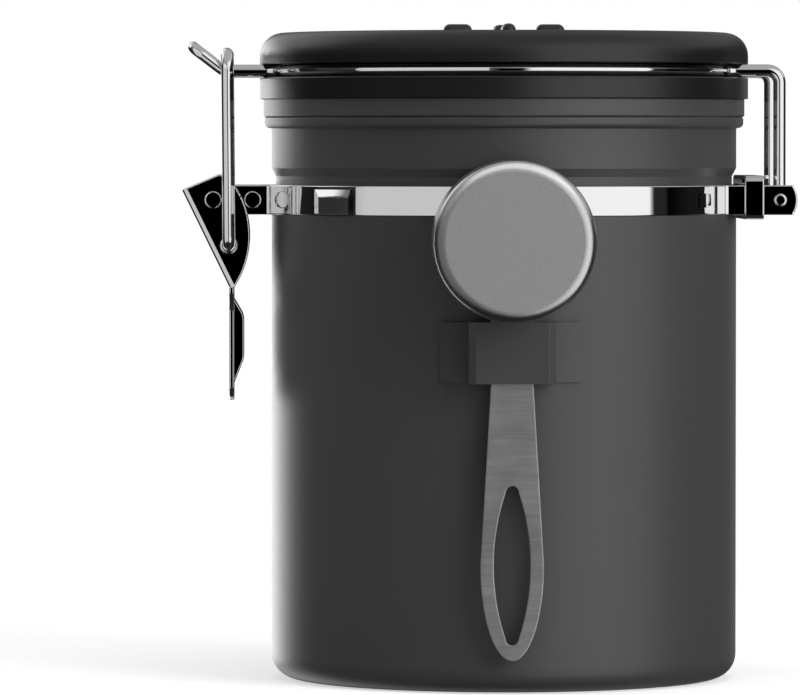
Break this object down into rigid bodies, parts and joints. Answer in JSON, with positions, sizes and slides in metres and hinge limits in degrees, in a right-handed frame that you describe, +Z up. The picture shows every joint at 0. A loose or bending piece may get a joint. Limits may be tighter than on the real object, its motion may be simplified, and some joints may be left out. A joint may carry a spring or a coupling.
{
  "type": "coffee canister",
  "caption": "Round steel canister with a wire-bail clasp lid, a date dial on top, a gas valve under the lid and a scoop hung on the front.",
  "frame": {"origin": "centre of the base, on the surface it stands on", "axes": "+Z up, +X towards the lid's wire hinge, -X towards the clasp, -Y towards the front with the scoop"},
  "size_m": [0.1573, 0.151, 0.1687],
  "materials": {
    "body_coat": "satin powder coat",
    "holder_coat": "satin powder coat",
    "lid_plastic": "satin",
    "dial_plastic": "satin",
    "day_ring_plastic": "satin with raised pale numbers",
    "gasket_rubber": "matte",
    "flap_rubber": "matte",
    "band_steel": "polished",
    "wire_steel": "polished",
    "lever_steel": "polished",
    "rivet_steel": "polished",
    "scoop_steel": "brushed",
    "valve_white": "satin",
    "valve_brown": "satin",
    "filter_felt": "felt"
  },
  "bodies": {
    "canister": {"canister_body": "body_coat", "band_front": "band_steel", "band_rear": "band_steel", "band_keeper": "band_steel", "ear_rivet": "rivet_steel", "ear_spacer": "rivet_steel", "lever_rivet": "rivet_steel", "lever_spacer": "rivet_steel", "hinge_clip": "band_steel", "hinge_spacer": "rivet_steel", "scoop_holder": "holder_coat"},
    "lid": {"lid_base": "lid_plastic", "lid_cap": "lid_plastic", "gasket": "gasket_rubber", "lid_wire": "wire_steel", "day_ring": "day_ring_plastic", "lid_screws": "rivet_steel"},
    "dial": {"date_dial": "dial_plastic", "dial_clip": "rivet_steel"},
    "valve": {"valve_housing": "valve_white", "valve_grip": "valve_brown", "valve_filter": "filter_felt", "valve_flap": "flap_rubber"},
    "lever": {"lever": "lever_steel"},
    "bail": {"bail": "wire_steel"},
    "scoop": {"scoop_bowl": "scoop_steel", "scoop_handle": "scoop_steel"}
  },
  "joints": [
    {"name": "lid_hinge", "type": "hinge", "parent": "canister", "child": "lid", "pos_m": [0.07, 0, 0.12345], "axis": [0, 1, 0], "range_deg": [0, 195]},
    {"name": "lever_pivot", "type": "hinge", "parent": "canister", "child": "lever", "pos_m": [-0.075, 0, 0.12345], "axis": [0, 1, 0], "range_deg": [0, 118]},
    {"name": "bail_pivot", "type": "hinge", "parent": "lever", "child": "bail", "pos_m": [-0.071, 0, 0.11175], "axis": [0, 1, 0], "range_deg": [-88, 0]},
    {"name": "dial_turn", "type": "hinge", "parent": "lid", "child": "dial", "pos_m": [0, 0, 0.165], "axis": [0, 0, 1], "continuous": true},
    {"name": "valve_twist", "type": "hinge", "parent": "lid", "child": "valve", "pos_m": [0, 0, 0.147], "axis": [0, 0, 1], "range_deg": [0, 40]},
    {"name": "scoop_lift", "type": "slide", "parent": "canister", "child": "scoop", "axis": [0, 0, 1], "range_m": [0, 0.09]}
  ],
  "couplings": [
    {"joint": "bail_pivot", "follows": "lever_pivot", "ratio": -0.74}
  ]
}
